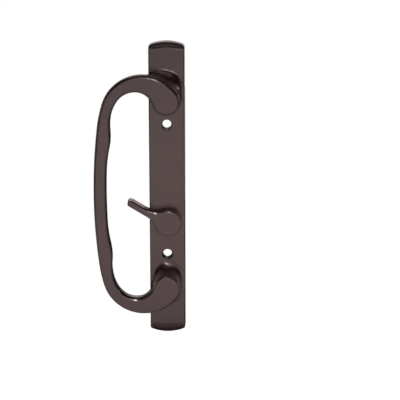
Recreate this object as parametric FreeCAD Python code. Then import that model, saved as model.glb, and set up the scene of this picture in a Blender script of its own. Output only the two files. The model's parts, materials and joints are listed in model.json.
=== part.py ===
import FreeCAD, Part

import math
import os

# Inside half of a sliding patio door handle: a cast escutcheon plate with a D-shaped pull, and a
# thumb lever that turns the lock's tailpiece.
# Millimetres. The origin lies on the door face, in the middle of the plate. The pull and the screws
# share a middle that lies a little above it.
# +X points right as seen from the room, +Z points up, and the handle stands out along -Y.
# "Depth" is the distance from the door face towards the room.

# Height of the pull's and the screws' middle above the plate's middle
pull_rise = 0.6

# Fixing screws
screw_spacing = 100.0
screw_bore = 6.7
countersink_width = 8.4
countersink_depth = 3.4
screw_pad_width = 15.0
screw_pad_thickness = 7.5

# Escutcheon plate
plate_length = 224.8
plate_width = 27.2
plate_depth = 9.5
plate_wall = 2.6
plate_draft = 2.0
end_arc_radius = 33.0
corner_radius = 3.4
end_edge_radius = 4.0
side_edge_radius = 0.9
rib_thickness = 1.8
rib_recess = 2.0
rib_places = (93.0, 30.0, -93.0)
middle_rib_thickness = 2.4

# D-shaped pull: two round roots on the plate and a swelled grip between them
root_spacing = 142.0
root_radius = 10.2
root_left = 11.7
root_core_radius = 6.4
root_core_tip_radius = 5.8
root_core_height = 15.0
root_fillet = 4.0
root_side_fillet = 1.5
root_left_fillet = 0.5
root_side_turn = 15.0
pull_height = 21.0
pull_reach = 53.7
bar_depth = 8.6
bar_bend_radius = 6.0
grip_width = 9.5
shoulder_drop = 18.4
grip_turn = 7.2
outer_radii = (95.0, 31.2)
outer_turns = (9.8, 57.0)
swell_drop = 52.6
hollow_turn = 2.2
inner_radii = (100.0, -45.0, 38.0, 29.4, 16.0)
inner_turns = (10.3, 17.5, 13.0, 26.0, 56.0)
front_edge_radius = 2.0
back_edge_radius = 2.2

# Thumb lever
pivot_x = 1.0
pivot_z = -22.5
hub_radius = 10.0
lever_thickness = 9.5
lever_length = 34.2
arm_above = 0.7
arm_below = 4.2
arm_upper_blend = 18.0
arm_lower_blend = 16.0
tip_radius = 2.3
lever_front_edge = 1.1
lever_back_edge = 0.5
lever_rise = 31.5
lever_travel = 60.0

# Lever bearing, from the room side to the door side
pivot_pad_length = 24.0
pivot_pad_thickness = 5.5
spigot_radius = 4.5
spigot_recess = 0.5
running_gap = 0.05
seat_gap = 0.02
bush_wall = 1.0
bush_flange_radius = 7.5
bush_flange_thickness = 1.0
bush_flange_proud = 0.4
wave_washer_thickness = 0.3
wave_washer_rise = 0.55
wave_washer_width = 1.8
wave_washer_gap = 0.4
wave_count = 3
stop_washer_thickness = 0.9
stop_washer_radius = 7.0
stop_washer_gap = 0.1
flats_width = 7.4
lug_width = 3.0
lug_radius = 9.4
stop_post_radius = 1.25
stop_post_place = 8.6
stop_post_height = 2.2
stop_gap = 0.25
ring_thickness = 0.7
ring_groove_radius = 3.5
ring_radius = 6.2
ring_mouth = 5.6
ring_relief_radius = 1.4
ring_relief_turn = 115.0

# Tailpiece
tailpiece_width = 4.8
tailpiece_thickness = 1.6
tailpiece_reach = 30.0
tailpiece_grip = 8.3
tailpiece_taper = 3.0
tailpiece_end_width = 3.4
tailpiece_gap = 0.1
pin_radius = 1.0
pin_length = 8.4
pin_depth = 6.4

# Depths worked out from the sizes above
pull_front = plate_depth + pull_height
bar_back = pull_front - bar_depth
pad_back = plate_depth - pivot_pad_thickness
hub_back = plate_depth + bush_flange_proud + running_gap
lever_front = hub_back + lever_thickness
wave_height = wave_washer_rise + wave_washer_thickness
stop_front = pad_back - wave_height - stop_washer_gap - seat_gap
stop_back = stop_front - stop_washer_thickness
ring_front = stop_back - running_gap
ring_back = ring_front - ring_thickness
root_z = root_spacing / 2
bush_bore = spigot_radius + running_gap
bush_radius = bush_bore + bush_wall
bush_front = plate_depth + bush_flange_proud
bush_seat = bush_front - bush_flange_thickness

# The lug hangs down from the pivot, and swings as far to one side as to the other
lug_rest = 270 - lever_travel / 2
stop_turn = math.degrees(math.asin((lug_width / 2 + stop_post_radius + stop_gap) / stop_post_place))

to_room = FreeCAD.Vector(0, -1, 0)
pivot = FreeCAD.Vector(pivot_x, 0, pivot_z)


def at(x, z, depth):
    """Point at x, z as seen from the room, and its distance from the door face."""
    return FreeCAD.Vector(x, -depth, z)


def on_circle(x, z, radius, angle):
    """x, z of the point at this angle, counted anticlockwise from +X as seen from the room."""
    turn = math.radians(angle)
    return x + radius * math.cos(turn), z + radius * math.sin(turn)


def line(start, end, depth):
    return Part.LineSegment(at(*start, depth), at(*end, depth)).toShape()


def arc(x, z, radius, start, end, depth):
    stops = [on_circle(x, z, radius, angle) for angle in (start, (start + end) / 2, end)]
    return Part.Arc(*[at(*stop, depth) for stop in stops]).toShape()


def prism(edges, near, far):
    """Solid between two depths, from edges drawn at the near one."""
    face = Part.Face(Part.Wire(Part.__sortEdges__(edges)))
    return face.extrude(to_room * (far - near))


def rod(radius, near, far, x=0.0, z=0.0):
    return Part.makeCylinder(radius, far - near, at(x, z, near), to_room)


def block(x_range, z_range, near, far):
    corner = FreeCAD.Vector(x_range[0], -far, z_range[0])
    return Part.makeBox(x_range[1] - x_range[0], far - near, z_range[1] - z_range[0], corner)


def is_at_depth(edge, depth):
    """True on an edge that lies in the plane at this depth."""
    return max(abs(edge.BoundBox.YMin + depth), abs(edge.BoundBox.YMax + depth)) < 1e-4


def edges_at_depth(shape, depth):
    return [edge for edge in shape.Edges if is_at_depth(edge, depth)]


def plate_outline(inset, depth):
    """Rounded bar with arched ends, drawn in by inset all round."""
    half_width = plate_width / 2 - inset
    end = plate_length / 2 - inset
    radius = end_arc_radius - inset
    corner = corner_radius - inset / 2
    middle = end - radius
    corner_z = middle + math.sqrt((radius - corner) ** 2 - (half_width - corner) ** 2)
    turn = math.degrees(math.atan2(corner_z - middle, half_width - corner))
    side_x = half_width - corner
    return [
        line((half_width, -corner_z), (half_width, corner_z), depth),
        arc(side_x, corner_z, corner, 0, turn, depth),
        arc(0, middle, radius, turn, 180 - turn, depth),
        arc(-side_x, corner_z, corner, 180 - turn, 180, depth),
        line((-half_width, corner_z), (-half_width, -corner_z), depth),
        arc(-side_x, -corner_z, corner, 180, 180 + turn, depth),
        arc(0, -middle, radius, 180 + turn, 360 - turn, depth),
        arc(side_x, -corner_z, corner, 360 - turn, 360, depth),
    ]


def drafted_plate(inset, depth):
    """Solid from the door face to this depth, with walls that lean in by the casting's draft."""
    lean = depth * math.tan(math.radians(plate_draft))
    wires = [Part.Wire(plate_outline(inset, 0)), Part.Wire(plate_outline(inset + lean, depth))]
    return Part.makeLoft(wires, True, True)


def is_clockwise(edge, middle_z):
    """True if the edge runs clockwise about the point at this height on the plate's middle line."""
    halfway = (edge.FirstParameter + edge.LastParameter) / 2
    place = edge.valueAt(halfway)
    way = edge.tangentAt(halfway)
    return place.x * way.z < (place.z - middle_z) * way.x


def round_loop(shape, middle_z, is_wanted, radius_at):
    """Rounds a smooth loop of edges, with a radius that is given at each edge's ends and runs evenly
    between them. The loop is followed the way that its first edge runs."""
    document = FreeCAD.newDocument()
    base = document.addObject("Part::Feature", "base")
    base.Shape = shape
    fillet = document.addObject("Part::Fillet", "fillet")
    fillet.Base = base
    loop = [(number, edge) for number, edge in enumerate(shape.Edges, 1) if is_wanted(edge)]
    loop_way = is_clockwise(loop[0][1], middle_z)
    rounds = []
    for number, edge in loop:
        ends = [edge.valueAt(place) for place in (edge.FirstParameter, edge.LastParameter)]
        if is_clockwise(edge, middle_z) != loop_way:
            ends.reverse()
        rounds.append((number, radius_at(ends[0]), radius_at(ends[1])))
    fillet.Edges = rounds
    document.recompute()
    rounded = fillet.Shape.copy()
    FreeCAD.closeDocument(document.Name)
    return rounded


def rounded_plate():
    """The plate's outer form: well rounded at both ends and crisp along the sides."""
    plate = drafted_plate(0, plate_depth)
    side_x = max(edge.BoundBox.XMax for edge in edges_at_depth(plate, plate_depth))

    def radius_at(point):
        return side_edge_radius if abs(point.x) > side_x - 1e-3 else end_edge_radius

    return round_loop(plate, 0, lambda edge: is_at_depth(edge, plate_depth), radius_at)


def arc_chain(start, radii, turns, depth):
    """Arcs that set off along +Z and follow each other with no kink: each has a radius and a turn to
    the right, and a negative radius turns to the left. The heading counts clockwise from +Z."""
    edges = []
    x, z = start
    heading = 0
    for radius, turn in zip(radii, turns):
        side = math.copysign(1, radius)
        way = math.radians(heading)
        centre = x + radius * math.cos(way), z - radius * math.sin(way)
        first = 90 + side * 90 - heading
        last = first - side * turn
        edges.append(arc(*centre, abs(radius), first, last, depth))
        x, z = on_circle(*centre, abs(radius), last)
        heading += side * turn
    return edges, (x, z), heading


def pull_half(depth):
    """Upper half of the pull's outline: outer side, round root and inner side."""
    grip_radius = (root_z - shoulder_drop) / math.sin(math.radians(grip_turn))
    outer, join, heading = arc_chain((-pull_reach, 0), (grip_radius,) + outer_radii,
                                     (grip_turn,) + outer_turns, depth)
    way = math.radians(heading)
    across = join[0] * math.cos(way) - (join[1] - root_z) * math.sin(way)
    apart = join[0] ** 2 + (join[1] - root_z) ** 2
    closing = (apart - root_radius ** 2) / -(across + root_radius) / 2
    centre = join[0] + closing * math.cos(way), join[1] - closing * math.sin(way)
    outer_turn = math.degrees(math.atan2(root_z - centre[1], -centre[0]))
    outer.append(arc(*centre, closing, 180 - heading, outer_turn, depth))

    hollow_radius = (root_z - swell_drop) / math.sin(math.radians(hollow_turn))
    inner, top, heading = arc_chain((-pull_reach + grip_width, 0), (hollow_radius,) + inner_radii,
                                    (hollow_turn,) + inner_turns, depth)
    above = top[1] - root_z
    arch_radius = (top[0] ** 2 + above ** 2 - root_radius ** 2) / (above + root_radius) / 2
    arch_z = top[1] - arch_radius
    inner_turn = math.degrees(math.atan2(root_z - arch_z, -top[0]))
    inner.append(arc(top[0], arch_z, arch_radius, 90, inner_turn, depth))
    turns = [outer_turn, root_side_turn, -root_side_turn, -90, inner_turn - 180]
    root = [arc(0, root_z, root_radius, *pair, depth) for pair in zip(turns, turns[1:])]
    return outer + inner + root


def pull_outline(depth):
    """Outline of the pull as seen from the room, the same above and below the middle."""
    upper = pull_half(depth)
    lower = [edge.mirror(FreeCAD.Vector(), FreeCAD.Vector(0, 0, 1)) for edge in upper]
    return upper + lower


def pull():
    """Front outline and side profile cut together: a bar on two roots that stand on the plate."""
    foot = plate_depth - plate_wall / 2
    front_form = prism(pull_outline(foot), foot, pull_front)
    left = -pull_reach - 1
    right = root_radius + 1
    bend_x = -root_left - bar_bend_radius
    bend_depth = bar_back - bar_bend_radius
    bend_middle = on_circle(bend_x, bend_depth, bar_bend_radius, 45)
    corners = [(bend_x, bar_back), (left, bar_back), (left, pull_front), (right, pull_front),
               (right, foot), (-root_left, foot), (-root_left, bend_depth)]
    points = [at(x, -root_spacing, depth) for x, depth in corners]
    edges = [Part.LineSegment(*pair).toShape() for pair in zip(points, points[1:])]
    middle = at(bend_middle[0], -root_spacing, bend_middle[1])
    edges.append(Part.Arc(points[-1], middle, points[0]).toShape())
    side_form = Part.Face(Part.Wire(edges)).extrude(FreeCAD.Vector(0, 0, 2 * root_spacing))
    bar = front_form.common(side_form)
    bar = bar.makeFillet(front_edge_radius, edges_at_depth(bar, pull_front))
    bar = bar.makeFillet(back_edge_radius, [edge for edge in bar.Edges if is_back_edge(edge, foot)])
    return bar.translated(FreeCAD.Vector(0, 0, pull_rise))


def is_back_edge(edge, foot):
    """True on the edges that fingers meet behind the bar and down the roots' inner faces."""
    box = edge.BoundBox
    behind = foot + 1e-3 < -box.YMin < bar_back + 1e-3
    upright_line = box.XLength < 1e-3 and box.YLength < 1e-3
    return behind and not upright_line


def root_fillet_at(point):
    """Generous fillet above and below a root, and small ones beside it, where the plate is narrow."""
    beside = root_radius * math.cos(math.radians(2 * root_side_turn))
    if point.x < -root_radius:
        return root_left_fillet
    return root_side_fillet if abs(point.x) > beside else root_fillet


def fillet_root(body, middle_z):
    """Rounds the corner where one root stands on the plate."""

    def is_wanted(edge):
        around = [math.hypot(vertex.X, vertex.Z - middle_z) for vertex in edge.Vertexes]
        return is_at_depth(edge, plate_depth) and max(around) < 2.2 * root_radius

    return round_loop(body, middle_z, is_wanted, root_fillet_at)


def handle_casting():
    body = rounded_plate().fuse(pull())
    for side in (1, -1):
        body = fillet_root(body, pull_rise + side * root_z)
    floor = plate_depth - plate_wall
    body = body.cut(drafted_plate(plate_wall, floor))
    inside = plate_width / 2 - plate_wall / 2
    sunk = plate_depth - plate_wall / 2
    across = (-inside, inside)
    added = [block(across, (z - rib_thickness / 2, z + rib_thickness / 2), rib_recess, sunk)
             for z in rib_places]
    added.append(block(across, (-middle_rib_thickness / 2, middle_rib_thickness / 2), 0, sunk))
    pad_z = (pivot_z - pivot_pad_length / 2, pivot_z + pivot_pad_length / 2)
    added.append(block(across, pad_z, pad_back, sunk))
    for turn in (lug_rest - stop_turn, lug_rest + lever_travel + stop_turn):
        x, z = on_circle(pivot_x, pivot_z, stop_post_place, turn)
        added.append(rod(stop_post_radius, pad_back - stop_post_height, sunk, x, z))
    removed = [
        rod(bush_radius + seat_gap, 0, pull_front, pivot_x, pivot_z),
        rod(bush_flange_radius + seat_gap, bush_seat, pull_front, pivot_x, pivot_z),
    ]
    for side in (1, -1):
        screw_z = pull_rise + side * screw_spacing / 2
        added.append(rod(screw_pad_width / 2, plate_depth - screw_pad_thickness, sunk, 0, screw_z))
        removed.append(rod(screw_bore / 2, 0, pull_front, 0, screw_z))
        removed.append(countersink(screw_z))
        removed.append(Part.makeCone(root_core_radius, root_core_tip_radius, root_core_height,
                                     at(0, pull_rise + side * root_z, floor - 1), to_room))
    return body.fuse(added).removeSplitter().cut(removed)


def countersink(z):
    """Cone for a screw head, carried on past the plate's front so that it cuts clean."""
    slope = (countersink_width - screw_bore) / 2 / countersink_depth
    past = plate_wall
    return Part.makeCone(screw_bore / 2, countersink_width / 2 + past * slope, countersink_depth + past,
                         at(0, z, plate_depth - countersink_depth), to_room)


def lever_outline(depth):
    """Round hub with an arm that points to -X and runs out low of the middle."""
    upper_z = arm_above + arm_upper_blend
    upper_x = -math.sqrt((hub_radius + arm_upper_blend) ** 2 - upper_z ** 2)
    lower_z = -arm_below - arm_lower_blend
    lower_x = -math.sqrt((hub_radius + arm_lower_blend) ** 2 - lower_z ** 2)
    upper_turn = math.degrees(math.atan2(upper_z, upper_x))
    lower_turn = math.degrees(math.atan2(lower_z, lower_x))
    tip_x = tip_radius - lever_length
    end = -lever_length
    return [
        line((tip_x, arm_above), (upper_x, arm_above), depth),
        arc(upper_x, upper_z, arm_upper_blend, 270, 180 + upper_turn, depth),
        arc(0, 0, hub_radius, upper_turn, lower_turn, depth),
        arc(lower_x, lower_z, arm_lower_blend, 180 + lower_turn, 90, depth),
        line((lower_x, -arm_below), (tip_x, -arm_below), depth),
        arc(tip_x, tip_radius - arm_below, tip_radius, 270, 180, depth),
        line((end, tip_radius - arm_below), (end, arm_above - tip_radius), depth),
        arc(tip_x, arm_above - tip_radius, tip_radius, 180, 90, depth),
    ]


def thumb_lever():
    lever = prism(lever_outline(hub_back), hub_back, lever_front)
    lever = lever.makeFillet(lever_front_edge, edges_at_depth(lever, lever_front))
    lever = lever.makeChamfer(lever_back_edge, edges_at_depth(lever, hub_back))
    lever = lever.fuse(rod(spigot_radius, spigot_recess, hub_back + bush_wall))
    side = (-hub_radius, hub_radius)
    flat = flats_width / 2
    flats = [block(side, span, 0, stop_front + seat_gap) for span in ((flat, hub_radius), (-hub_radius, -flat))]
    groove = rod(hub_radius, ring_back - seat_gap, ring_front + seat_gap).cut(
        rod(ring_groove_radius, 0, hub_back))
    slot = blade_section(tailpiece_width + 2 * tailpiece_gap, tailpiece_thickness + 2 * tailpiece_gap,
                         0, tailpiece_grip + tailpiece_gap)
    return lever.cut(flats + [groove, slot, cross_pin(pin_radius + seat_gap, 2 * hub_radius)])


def blade_section(width, thickness, near, far):
    return block((-width / 2, width / 2), (-thickness / 2, thickness / 2), near, far)


def cross_pin(radius, length):
    start = at(0, -length / 2, pin_depth)
    return Part.makeCylinder(radius, length, start, FreeCAD.Vector(0, 0, 1))


def lever_bush():
    bush = rod(bush_radius, pad_back, bush_front).fuse(rod(bush_flange_radius, bush_seat, bush_front))
    return bush.removeSplitter().cut(rod(bush_bore, 0, pull_front))


def wave_ring(radius, shift):
    """Closed wave of points round the spigot, at one radius."""
    count = 8 * wave_count
    middle = pad_back - seat_gap - wave_height / 2 + shift
    points = []
    for step in range(count):
        turn = 360.0 * step / count
        swing = wave_washer_rise / 2 * math.cos(math.radians(turn * wave_count))
        points.append(at(*on_circle(0, 0, radius, turn), middle + swing))
    spline = Part.BSplineCurve()
    spline.interpolate(Points=points, PeriodicFlag=True)
    return spline.toShape()


def wave_washer():
    inner = spigot_radius + wave_washer_gap
    outer = inner + wave_washer_width
    half = wave_washer_thickness / 2
    rings = [wave_ring(inner, half), wave_ring(outer, half), wave_ring(outer, -half), wave_ring(inner, -half)]
    faces = [Part.makeRuledSurface(first, second) for first, second in zip(rings, rings[1:] + rings[:1])]
    shell = Part.Compound(faces)
    shell.sewShape()
    return Part.makeSolid(shell.Shells[0])


def stop_washer():
    washer = rod(stop_washer_radius, stop_back, stop_front)
    lug = block((0, lug_radius), (-lug_width / 2, lug_width / 2), stop_back, stop_front)
    lug.rotate(FreeCAD.Vector(), to_room, lug_rest + lever_rise)
    flat = flats_width / 2 + running_gap
    side = (-stop_washer_radius, stop_washer_radius)
    hole = rod(spigot_radius + running_gap, 0, pull_front).common(block(side, (-flat, flat), 0, pull_front))
    return washer.fuse(lug).removeSplitter().cut(hole)


def retaining_ring():
    ring = rod(ring_radius, ring_back, ring_front).cut(rod(ring_groove_radius + seat_gap, 0, pull_front))
    cuts = [block((0, 2 * ring_radius), (-ring_mouth / 2, ring_mouth / 2), 0, pull_front)]
    for turn in (ring_relief_turn, -ring_relief_turn):
        x, z = on_circle(0, 0, ring_groove_radius, turn)
        cuts.append(rod(ring_relief_radius, 0, pull_front, x, z))
    return ring.cut(cuts)


def tailpiece():
    half = tailpiece_width / 2
    end = tailpiece_end_width / 2
    corners = [(-half, tailpiece_grip), (half, tailpiece_grip), (half, tailpiece_taper - tailpiece_reach),
               (end, -tailpiece_reach), (-end, -tailpiece_reach), (-half, tailpiece_taper - tailpiece_reach)]
    points = [at(x, -tailpiece_thickness / 2, depth) for x, depth in corners]
    face = Part.Face(Part.makePolygon(points + points[:1]))
    blade = face.extrude(FreeCAD.Vector(0, 0, tailpiece_thickness))
    return blade.cut(cross_pin(pin_radius + seat_gap, tailpiece_width))


def tailpiece_pin():
    return cross_pin(pin_radius, pin_length)


def on_pivot(shape):
    """Turns a piece that was drawn with the arm level to the lever's rest, and puts it on the pivot."""
    shape.rotate(FreeCAD.Vector(), to_room, -lever_rise)
    shape.translate(pivot)
    return shape


pieces = {
    "handle_casting": handle_casting(),
    "thumb_lever": on_pivot(thumb_lever()),
    "lever_bush": on_pivot(lever_bush()),
    "wave_washer": on_pivot(wave_washer()),
    "stop_washer": on_pivot(stop_washer()),
    "retaining_ring": on_pivot(retaining_ring()),
    "tailpiece": on_pivot(tailpiece()),
    "tailpiece_pin": on_pivot(tailpiece_pin()),
}
os.makedirs("parts", exist_ok=True)
for name, shape in pieces.items():
    shape.exportStep(f"parts/{name}.step")
    print(f"{name}: {len(shape.Solids)} solid, {shape.Volume / 1000:.2f} cm3, valid {shape.isValid()}")
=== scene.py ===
# %% [markdown]
# # A sliding patio door handle, dressed and lit
# The solids come from a CAD model that is already packed: a die-cast plate with a D-shaped pull, a
# thumb lever, and the small bearing pieces behind it. This lesson keeps those shapes and gives them
# what CAD has no words for: paint, plating, moulded plastic, the marks that a die leaves, and light.
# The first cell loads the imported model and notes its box, because nothing may grow out of it.

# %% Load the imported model
import json
import math

import bpy
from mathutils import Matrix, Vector


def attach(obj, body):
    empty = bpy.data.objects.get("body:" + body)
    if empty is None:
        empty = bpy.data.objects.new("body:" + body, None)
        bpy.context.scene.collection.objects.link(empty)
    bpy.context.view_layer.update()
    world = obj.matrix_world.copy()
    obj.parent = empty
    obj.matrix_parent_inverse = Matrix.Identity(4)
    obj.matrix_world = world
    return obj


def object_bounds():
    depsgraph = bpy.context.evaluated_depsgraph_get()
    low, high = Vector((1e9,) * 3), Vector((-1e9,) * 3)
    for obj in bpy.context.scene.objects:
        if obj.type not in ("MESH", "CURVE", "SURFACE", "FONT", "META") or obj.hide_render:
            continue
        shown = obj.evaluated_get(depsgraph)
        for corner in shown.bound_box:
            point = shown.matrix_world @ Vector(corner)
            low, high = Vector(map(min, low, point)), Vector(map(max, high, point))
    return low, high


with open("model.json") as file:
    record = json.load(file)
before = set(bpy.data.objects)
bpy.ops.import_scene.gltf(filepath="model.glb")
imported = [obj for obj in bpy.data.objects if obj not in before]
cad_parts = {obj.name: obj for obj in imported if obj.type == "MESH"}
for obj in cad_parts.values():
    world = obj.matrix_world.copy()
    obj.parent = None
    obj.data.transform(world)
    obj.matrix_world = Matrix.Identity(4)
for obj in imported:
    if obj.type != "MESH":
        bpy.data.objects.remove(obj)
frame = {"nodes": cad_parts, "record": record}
nodes = frame["nodes"]
cad_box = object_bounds()
print("nodes:", ", ".join(sorted(nodes)))
print("CAD box in mm:", [[round(1000 * c, 1) for c in corner] for corner in cad_box])

# %% [markdown]
# ## Camera
# The photograph looks down on the handle a little, with a long lens. The plate's two sides run
# together towards the bottom, and how fast they do so gives the distance: about one metre. The camera
# is made first, so that everything after it can be judged in the same frame as the photograph.

# %% Camera
camera_place = (0.0247, -1.01083, 0.2522)
camera_tilt = 75.5
field_of_view = 16.54
film_width = 36.0
nearest_seen = 0.01

camera_data = bpy.data.cameras.new("camera")
camera_data.sensor_width = film_width
camera_data.angle = math.radians(field_of_view)
camera_data.clip_start = nearest_seen
camera = bpy.data.objects.new("camera", camera_data)
camera.location = camera_place
camera.rotation_euler = (math.radians(camera_tilt), 0, 0)
bpy.context.scene.collection.objects.link(camera)
bpy.context.scene.camera = camera
print(f"camera: {camera_data.lens:.1f} mm lens, tilted {90 - camera_tilt} degrees down")

# %% [markdown]
# ## Helpers for shader trees
# Every finish below is a small tree of shader nodes. These helpers keep the trees short: one adds a
# node and sets its plain inputs, one starts a material and hands back its main shader, and one turns
# a level into a grey.

# %% Helpers for shader trees


def add_node(tree, kind, settings=None, **inputs):
    """Adds a shader node. Settings are its own options, and inputs are values for its sockets."""
    node = tree.nodes.new("ShaderNode" + kind)
    for name, value in (settings or {}).items():
        setattr(node, name, value)
    for name, value in inputs.items():
        node.inputs[name.replace("_", " ")].default_value = value
    return node


def new_material(name):
    """A material with its Principled shader, which is the one that the export reads."""
    material = bpy.data.materials.new(name)
    material.use_nodes = True
    tree = material.node_tree
    return material, tree, tree.nodes["Principled BSDF"]


def grey(level):
    """A neutral colour, as shader sockets take it."""
    return (level, level, level, 1)


print("helpers ready")

# %% [markdown]
# ## Stage
# Dark glossy paint shows what it mirrors, so the room matters as much as the lamps. A picture of a
# studio, wrapped round the handle, would do. Plain sheets are used instead, because each one can be
# moved until the band or the line that it draws on the paint sits where the photograph has it. A sheet
# is a mesh with four corners.

# %% Sheets for the stage
room_half = 3.0
room_top = 1.5
foot_gap = 0.0003
floor_z = cad_box[0].z - foot_gap


def flat_sheet(name, corners, material):
    """A stage sheet with four corners, which isn't part of the handle."""
    mesh = bpy.data.meshes.new(name)
    mesh.from_pydata(corners, [], [(0, 1, 2, 3)])
    mesh.materials.append(material)
    sheet = bpy.data.objects.new(name, mesh)
    bpy.context.scene.collection.objects.link(sheet)
    return sheet


def level_sheet(name, z, front, back, material):
    """A sheet that lies flat, from its front edge to its back edge."""
    return flat_sheet(name, [(-room_half, front, z), (room_half, front, z),
                             (room_half, back, z), (-room_half, back, z)], material)


def facing_sheet(name, y, foot, top, material, half=room_half):
    """A sheet that hangs across the room."""
    return flat_sheet(name, [(-half, y, foot), (half, y, foot),
                             (half, y, top), (-half, y, top)], material)


def side_sheet(name, x, front, back, material):
    """A sheet that hangs along one side of the room."""
    return flat_sheet(name, [(x, front, floor_z), (x, back, floor_z),
                             (x, back, room_top), (x, front, room_top)], material)


print(f"stage: the floor lies at {1000 * floor_z:.1f} mm")

# %% [markdown]
# ### Materials of the stage
# A white table under soft light comes out grey in a picture. More light would cure that, but it would
# also wash out the dark paint. So the table glows by itself, and only on rays that show the background.
# On all other rays it is plain matt grey, and it still takes the handle's shadow. Cloth is black with
# a faint glow, so that its level in a reflection is the one that is set, whatever the lamps do.

# %% Materials of the stage
table_level = 0.35


def background_rays(tree):
    """1 on rays that show the background: straight to the camera, mirrored or through glass."""
    path = add_node(tree, "LightPath")
    most = path.outputs["Is Camera Ray"]
    for name in ("Is Glossy Ray", "Is Transmission Ray"):
        larger = add_node(tree, "Math", {"operation": "MAXIMUM"})
        tree.links.new(most, larger.inputs[0])
        tree.links.new(path.outputs[name], larger.inputs[1])
        most = larger.outputs[0]
    return most


def stage_material(name, base, glow):
    """A matt material without gloss, with a colour of its own and a glow."""
    material, tree, shader = new_material(name)
    shader.inputs["Base Color"].default_value = base
    shader.inputs["Roughness"].default_value = 1.0
    shader.inputs["Specular IOR Level"].default_value = 0.0
    shader.inputs["Emission Color"].default_value = glow
    shader.inputs["Emission Strength"].default_value = 1.0
    return material, tree, shader


def stage_white(name, lift, tint):
    """Matt white that keeps shadows, and is lifted towards white where the background is seen."""
    material, tree, shader = stage_material(name, grey(table_level), tint)
    scale = add_node(tree, "Math", {"operation": "MULTIPLY"})
    scale.inputs[1].default_value = lift
    tree.links.new(background_rays(tree), scale.inputs[0])
    tree.links.new(scale.outputs[0], shader.inputs["Emission Strength"])
    return material


def cloth(name, level):
    """Cloth that is one even level in every reflection."""
    return stage_material(name, grey(0.0), grey(level))[0]


print("stage: materials ready")

# %% [markdown]
# ### Table and wall
# The handle stands on a white table with a low wall behind it. Looked at along a ledge, the paint
# mirrors that wall, and each ledge that faces up gets a pale band. The wall is a warm white, because
# the bands in the photograph are.

# %% Table and wall
floor_lift = 0.99
wall_lift = 0.95
wall_tint = (1.0, 0.76, 0.76, 1)
wall_y = 1.1
wall_top = 0.4

level_sheet("floor", floor_z, -room_half, room_half,
            stage_white("table_white", floor_lift, grey(1.0)))
wall = facing_sheet("wall", wall_y, floor_z, wall_top,
                    stage_white("wall_warm", wall_lift, wall_tint))
print("stage: white table, warm wall", wall_top, "m high")

# %% [markdown]
# ### Cloths
# All other sides of the room are hung with dark cloth: that draws the thin dark lines down the sides
# of the plate and the pull. A dark sheet lies on the table from just in front of the foot backwards; it
# is painted shadow, because the lower end of the plate mirrors it as it would mirror the table's shade.
# A dark patch behind each screw hole is painted shade: it keeps the hole dark inside, as in the
# photograph. The record gives the places of the holes. Further back the cloth is grey, so that the
# steel pieces there have something to shine with. Only reflections see the wall and the cloths, so the
# background stays clean from every side.

# %% Cloths
cloth_x = 0.3
cloth_front = -2.0
cloth_front_foot = 0.02
cloth_split = 0.4
foot_shadow_front = -0.032
table_cloth_gap = 0.0001
table_cloth_z = floor_z + table_cloth_gap
hole_shade_half = 0.011
hole_shade_y = 0.02
dark_level = 0.006
grey_level = 0.2

dark = cloth("cloth_dark", dark_level)
pale = cloth("cloth_grey", grey_level)
cloths = [facing_sheet("cloth_front", cloth_front, cloth_front_foot, room_top, dark),
          level_sheet("cloth_above", room_top, cloth_front, wall_y, dark),
          # Painted shadow: this dark sheet on the table, seen only in reflections, darkens the lower
          # end of the plate as the table's shade near the foot would.
          level_sheet("cloth_below", table_cloth_z, foot_shadow_front, cloth_split, dark),
          level_sheet("cloth_below_back", table_cloth_z, cloth_split, wall_y, pale)]
for side, x in (("left", -cloth_x), ("right", cloth_x)):
    cloths.append(side_sheet(f"cloth_{side}", x, cloth_front, cloth_split, dark))
    cloths.append(side_sheet(f"cloth_{side}_back", x, cloth_split, wall_y, pale))

screws = next(mount for mount in frame["record"]["mounts"] if mount["name"] == "fixing_screws")
half_spacing = screws["dims"]["spacing_y_mm"] / 1000 / 2
# Painted shade: a dark patch behind each screw hole, seen only in reflections, darkens the inside of
# the hole.
for place, shift in (("upper", half_spacing), ("lower", -half_spacing)):
    hole_z = screws["pos_m"][2] + shift
    cloths.append(facing_sheet(f"cloth_{place}_hole", hole_shade_y, hole_z - hole_shade_half,
                               hole_z + hole_shade_half, dark, hole_shade_half))

for sheet in [wall] + cloths:
    sheet.visible_camera = False
    sheet.visible_diffuse = False
    sheet.visible_transmission = False
    sheet.visible_shadow = False
print("stage:", len(cloths), "cloths, seen in reflections only")

# %% [markdown]
# ## Lamps
# Four far lamps with narrow beams stand round the handle. The front one gives the paint its tone: its
# beam fades outwards, so both ends of the plate are a little darker, and from so far away no root
# throws a shadow up the plate. A sun would light the plate evenly from end to end, which the photograph
# doesn't show. The back and side lamps light what the photograph leaves out. A long lamp above and in
# front draws a fine bright line along each rounded edge that faces up, and only shines in reflections.

# %% Lamps
middle = (0, 0, 0)
front_place = (0.0, -3.6, 0.02)
front_aim = (0, 0, -0.008)
back_place = (0.0, 3.6, 0.02)
side_x, side_y, side_z = 3.2, 1.5, 0.3
edge_place = (0.0, -0.42, 0.78)
front_lamp = {"size": (0.4, 0.24), "power": 0.128, "beam": 3.6}
rear_lamp = {"size": (0.4, 0.24), "power": 0.16, "beam": 3.6}
edge_lamp = {"size": (1.2, 0.14), "power": 1.6, "beam": 180.0}


def add_lamp(name, place, aim, size, power, beam):
    """An area lamp that looks at a point. Its beam is an angle in degrees."""
    data = bpy.data.lights.new(name, "AREA")
    data.shape = "RECTANGLE"
    data.size, data.size_y = size
    data.energy = power
    data.spread = math.radians(beam)
    lamp = bpy.data.objects.new(name, data)
    lamp.location = place
    lamp.rotation_euler = (Vector(aim) - Vector(place)).to_track_quat("-Z", "Y").to_euler()
    lamp.visible_camera = False
    bpy.context.scene.collection.objects.link(lamp)
    return lamp


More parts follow.
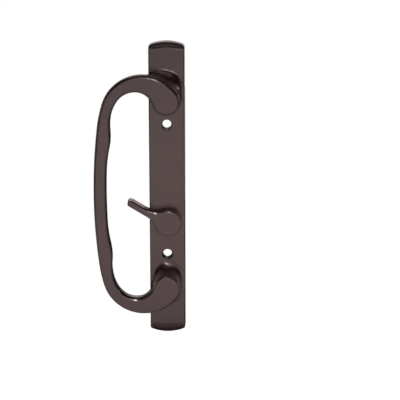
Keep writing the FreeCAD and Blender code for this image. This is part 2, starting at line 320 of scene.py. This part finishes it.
lamps = [add_lamp("front_lamp", front_place, front_aim, **front_lamp),
         add_lamp("back_lamp", back_place, middle, **rear_lamp)]
for side, x in (("left", -side_x), ("right", side_x)):
    lamps.append(add_lamp(f"{side}_lamp", (x, side_y, side_z), middle, **rear_lamp))
edge_line = add_lamp("edge_lamp", edge_place, middle, **edge_lamp)
edge_line.visible_diffuse = False
lamps.append(edge_line)
print("lamps:", ", ".join(lamp.name for lamp in lamps))

# %% [markdown]
# ## World
# The world is the rest of the room. It gives an even, low light, and is plain white where it is looked
# at, as the photograph's background is. The Standard view keeps that white at full white, where a
# filmic view would turn it grey.

# %% World
room_light = 0.055

world = bpy.data.worlds.new("studio")
world.use_nodes = True
bpy.context.scene.world = world
tree = world.node_tree
tree.nodes.clear()
room = add_node(tree, "Background", Color=grey(1.0), Strength=room_light)
white = add_node(tree, "Background", Color=grey(1.0), Strength=1.0)
mix = add_node(tree, "MixShader")
out = add_node(tree, "OutputWorld")
tree.links.new(background_rays(tree), mix.inputs[0])
tree.links.new(room.outputs[0], mix.inputs[1])
tree.links.new(white.outputs[0], mix.inputs[2])
tree.links.new(mix.outputs[0], out.inputs["Surface"])
bpy.context.scene.view_settings.view_transform = "Standard"
print("world:", world.name)

# %% [markdown]
# ## The skin of a coat
# No real surface is one even colour. Sprayed paint dries with a faint orange peel, black oxide is
# blotchy, and a moulding takes over the grain of its mould. All three are the same thing at different
# sizes, so they share one node group: broad patches for the tone, and ripples and grain for the
# height. Object coordinates are in metres, so a noise scale of 500 means patches of about 2 mm. A
# squeeze below 1 on one axis stretches the noise along it, which turns grain into drawn-out lines.

# %% Node group: coat skin
noise_details = {"Patch Scale": 3.0, "Ripple Scale": 1.0, "Grain Scale": 2.0}


def coat_skin_group():
    """Tone and height of a coat, from three noises of different sizes."""
    group = bpy.data.node_groups.new("coat_skin", "ShaderNodeTree")
    interface = group.interface
    for name in ("Patch Scale", "Ripple Scale", "Grain Scale", "Grain Share"):
        interface.new_socket(name=name, in_out="INPUT", socket_type="NodeSocketFloat")
    squeeze = interface.new_socket(name="Squeeze", in_out="INPUT", socket_type="NodeSocketVector")
    squeeze.default_value = (1, 1, 1)
    for name in ("Tone", "Height"):
        interface.new_socket(name=name, in_out="OUTPUT", socket_type="NodeSocketFloat")
    start = group.nodes.new("NodeGroupInput")
    end = group.nodes.new("NodeGroupOutput")
    squeezed = add_node(group, "VectorMath", {"operation": "MULTIPLY"})
    group.links.new(add_node(group, "TexCoord").outputs["Object"], squeezed.inputs[0])
    group.links.new(start.outputs["Squeeze"], squeezed.inputs[1])
    noises = {}
    for name, detail in noise_details.items():
        noise = add_node(group, "TexNoise", Detail=detail)
        group.links.new(squeezed.outputs["Vector"], noise.inputs["Vector"])
        group.links.new(start.outputs[name], noise.inputs["Scale"])
        noises[name] = noise.outputs["Fac"]
    height = add_node(group, "Mix", {"data_type": "FLOAT"})
    group.links.new(start.outputs["Grain Share"], height.inputs["Factor"])
    group.links.new(noises["Ripple Scale"], height.inputs["A"])
    group.links.new(noises["Grain Scale"], height.inputs["B"])
    group.links.new(noises["Patch Scale"], end.inputs["Tone"])
    group.links.new(height.outputs["Result"], end.inputs["Height"])
    return group


coat_skin = coat_skin_group()
print("group:", coat_skin.name)

# %% [markdown]
# ### Wearing the skin
# A group only hands out values, so something has to lay them on a shader. The tone blends two colours,
# and the height does two jobs at once: it makes the crests a little duller than the hollows, and it
# bends the light as a fine relief. Real displacement would need millions of faces for the same look.

# %% Put the skin on a shader


def add_skin(tree, shader, colours, rough, relief, **sizes):
    """Puts the coat skin on a shader: two colours that drift into each other, a range of roughness,
    and a relief in metres."""
    skin = add_node(tree, "Group", {"node_tree": coat_skin}, **sizes)
    drift = add_node(tree, "Mix", {"data_type": "RGBA"})
    drift.inputs["A"].default_value = colours[0]
    drift.inputs["B"].default_value = colours[1]
    tree.links.new(skin.outputs["Tone"], drift.inputs["Factor"])
    tree.links.new(drift.outputs["Result"], shader.inputs["Base Color"])
    gloss = add_node(tree, "MapRange", To_Min=rough[0], To_Max=rough[1])
    tree.links.new(skin.outputs["Height"], gloss.inputs["Value"])
    tree.links.new(gloss.outputs["Result"], shader.inputs["Roughness"])
    bump = add_node(tree, "Bump", Strength=1.0, Distance=relief)
    tree.links.new(skin.outputs["Height"], bump.inputs["Height"])
    tree.links.new(bump.outputs["Normal"], shader.inputs["Normal"])


print("skin ready for", coat_skin.name)

# %% [markdown]
# ## Bronze paint
# The casting and its lever are sprayed in one dark bronze, a brown that is nearly black. Such a paint
# holds fine metal flakes under a clear coat. One plain colour would leave the walls as light as the
# front. So a share of the base is metallic and rough: the flakes answer the front lamp on faces that
# look at it, and go dark where a wall or a fillet turns away. The rest is plain pigment. The clear coat
# is nearly smooth, and it draws the pale bands and the bright edges.

# %% Bronze paint
paint_dark = (0.080, 0.0445, 0.0445, 1)
paint_light = (0.092, 0.0515, 0.0515, 1)
paint_rough = (0.48, 0.56)
paint_relief = 6e-6
paint_sizes = {"Patch_Scale": 70.0, "Ripple_Scale": 650.0, "Grain_Scale": 3000.0, "Grain_Share": 0.35}
flake_share = 0.35
pigment_shine = 0.1
coat_share = 0.8
coat_rough = 0.1
coat_index = 1.4

bronze, tree, shader = new_material("sprayed_bronze")
shader.inputs["Metallic"].default_value = flake_share
shader.inputs["Specular IOR Level"].default_value = pigment_shine
shader.inputs["Coat Weight"].default_value = coat_share
shader.inputs["Coat Roughness"].default_value = coat_rough
shader.inputs["Coat IOR"].default_value = coat_index
add_skin(tree, shader, (paint_dark, paint_light), paint_rough, paint_relief, **paint_sizes)
print("finish:", bronze.name)

# %% [markdown]
# ## The hidden pieces
# Behind the plate sit pieces of four other materials. The bush is natural acetal, milky and a little
# waxy. The wave washer and the pin are bright spring steel. The stop washer and the tailpiece are cut
# from rolled sheet and plated with zinc: squeezing the noise along Y draws the fine lines of the
# rolling mill down the tailpiece. The retaining ring is blackened, and its coat is blotchy. All four
# are the same tree with other values, so they are a list of looks and one loop.

# %% Acetal, steel, zinc and black oxide
hidden_finishes = {
    "acetal": {
        "name": "moulded_acetal", "metal": 0.0, "rough": (0.38, 0.5), "relief": 3e-6,
        "colours": ((0.79, 0.775, 0.72, 1), (0.85, 0.84, 0.79, 1)),
        "sizes": {"Patch_Scale": 160.0, "Ripple_Scale": 900.0, "Grain_Scale": 4000.0,
                  "Grain_Share": 0.5}},
    "spring_steel": {
        "name": "bright_steel", "metal": 1.0, "rough": (0.2, 0.32), "relief": 1.5e-6,
        "colours": ((0.45, 0.45, 0.46, 1), (0.55, 0.55, 0.56, 1)),
        "sizes": {"Patch_Scale": 220.0, "Ripple_Scale": 1500.0, "Grain_Scale": 6000.0,
                  "Grain_Share": 0.6}},
    "zinc_plate": {
        "name": "plated_zinc", "metal": 1.0, "rough": (0.28, 0.42), "relief": 3e-6,
        "colours": ((0.53, 0.55, 0.58, 1), (0.66, 0.655, 0.64, 1)),
        "sizes": {"Patch_Scale": 260.0, "Ripple_Scale": 2500.0, "Grain_Scale": 7000.0,
                  "Grain_Share": 0.4, "Squeeze": (1.0, 0.04, 1.0)}},
    "black_oxide": {
        "name": "blackened_steel", "metal": 0.7, "rough": (0.34, 0.5), "relief": 2e-6,
        "colours": ((0.042, 0.042, 0.047, 1), (0.078, 0.078, 0.084, 1)),
        "sizes": {"Patch_Scale": 420.0, "Ripple_Scale": 1800.0, "Grain_Scale": 6000.0,
                  "Grain_Share": 0.5}},
}
finishes = {"bronze_paint": bronze}
for slot, look in hidden_finishes.items():
    material, tree, shader = new_material(look["name"])
    shader.inputs["Metallic"].default_value = look["metal"]
    add_skin(tree, shader, look["colours"], look["rough"], look["relief"], **look["sizes"])
    finishes[slot] = material
print("finishes:", ", ".join(sorted(m.name for m in finishes.values())))

# %% [markdown]
# ## Dressing the pieces
# The record says which material each piece is made of. Each finish goes onto all pieces of its slot.
# Writing the pieces down a second time here would do as well, but then the two lists could disagree.

# %% Put the finishes on
slots = {part["node"]: part["material_slot"] for part in frame["record"]["subparts"]}
for name in sorted(slots):
    mesh = nodes[name].data
    mesh.materials.clear()
    mesh.materials.append(finishes[slots[name]])
    print(name, "in", finishes[slots[name]].name)

# %% [markdown]
# ## Ejector marks
# Pins push a casting out of its die, and each pin leaves a round mark on the hidden side. The marks
# are all alike. They could be modelled one by one, but a small node tree is shorter, and moving a
# point then moves a mark: it sets a thin disc with a sloping rim on each point of a mesh.

# %% Node tree: ejector marks
mark_sides = 32
face_backwards = (-math.pi / 2, 0, 0)


def marks_tree():
    """A node tree that sets a disc on each point, and the sockets that its values go into."""
    tree = bpy.data.node_groups.new("ejector_marks", "GeometryNodeTree")
    sockets = {}
    for name, kind in (("Points", "Geometry"), ("Foot Radius", "Float"), ("Top Radius", "Float"),
                       ("Thickness", "Float"), ("Finish", "Material")):
        sockets[name] = tree.interface.new_socket(name=name, in_out="INPUT",
                                                  socket_type="NodeSocket" + kind)
    tree.interface.new_socket(name="Marks", in_out="OUTPUT", socket_type="NodeSocketGeometry")
    start = tree.nodes.new("NodeGroupInput")
    end = tree.nodes.new("NodeGroupOutput")
    disc = tree.nodes.new("GeometryNodeMeshCone")
    disc.inputs["Vertices"].default_value = mark_sides
    place = tree.nodes.new("GeometryNodeInstanceOnPoints")
    place.inputs["Rotation"].default_value = face_backwards
    real = tree.nodes.new("GeometryNodeRealizeInstances")
    coat = tree.nodes.new("GeometryNodeSetMaterial")
    tree.links.new(start.outputs["Foot Radius"], disc.inputs["Radius Bottom"])
    tree.links.new(start.outputs["Top Radius"], disc.inputs["Radius Top"])
    tree.links.new(start.outputs["Thickness"], disc.inputs["Depth"])
    tree.links.new(start.outputs["Points"], place.inputs["Points"])
    tree.links.new(disc.outputs["Mesh"], place.inputs["Instance"])
    tree.links.new(place.outputs["Instances"], real.inputs["Geometry"])
    tree.links.new(real.outputs["Geometry"], coat.inputs["Geometry"])
    tree.links.new(start.outputs["Finish"], coat.inputs["Material"])
    tree.links.new(coat.outputs["Geometry"], end.inputs["Marks"])
    return tree, sockets


tree, sockets = marks_tree()
print("node tree:", tree.name, "with", ", ".join(sockets))

# %% [markdown]
# ### Setting the marks
# The marks stand in pairs down the hollow back of the plate, clear of the ribs and the screw pads. Each
# one starts a little under the floor of the hollow, so that no gap shows at its foot. The result
# becomes a plain mesh, because the export reads meshes and not node trees. It stays with the handle
# when the lever turns, and takes the casting's paint.

# %% Set the marks
mark_radius = 0.0017
mark_slope = 0.0002
mark_rise = 0.00022
mark_sunk = 0.0002
mark_x = 0.0078
mark_z = (0.0840, 0.0615, 0.0365, -0.0610, -0.0840)
hollow_floor_y = -0.0069
mark_y = hollow_floor_y - mark_sunk


def plain_mesh(obj):
    """Turns what the object's modifiers make into its own mesh, and takes the modifiers off."""
    graph = bpy.context.evaluated_depsgraph_get()
    made = bpy.data.meshes.new_from_object(obj.evaluated_get(graph))
    obj.modifiers.clear()
    obj.data = made


mark_points = bpy.data.meshes.new("ejector_marks")
mark_points.from_pydata([(side * mark_x, mark_y, z) for z in mark_z for side in (-1, 1)], [], [])
marks = bpy.data.objects.new("ejector_marks", mark_points)
bpy.context.scene.collection.objects.link(marks)
modifier = marks.modifiers.new("marks", "NODES")
modifier.node_group = tree
for name, value in (("Foot Radius", mark_radius), ("Top Radius", mark_radius - mark_slope),
                    ("Thickness", mark_rise + mark_sunk), ("Finish", bronze)):
    modifier[sockets[name].identifier] = value
plain_mesh(marks)
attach(marks, "handle")
heights = [1000 * (v.co.y - hollow_floor_y) for v in marks.data.vertices]
print(f"ejector marks: {len(mark_points.vertices)}, {max(heights):.2f} mm high")
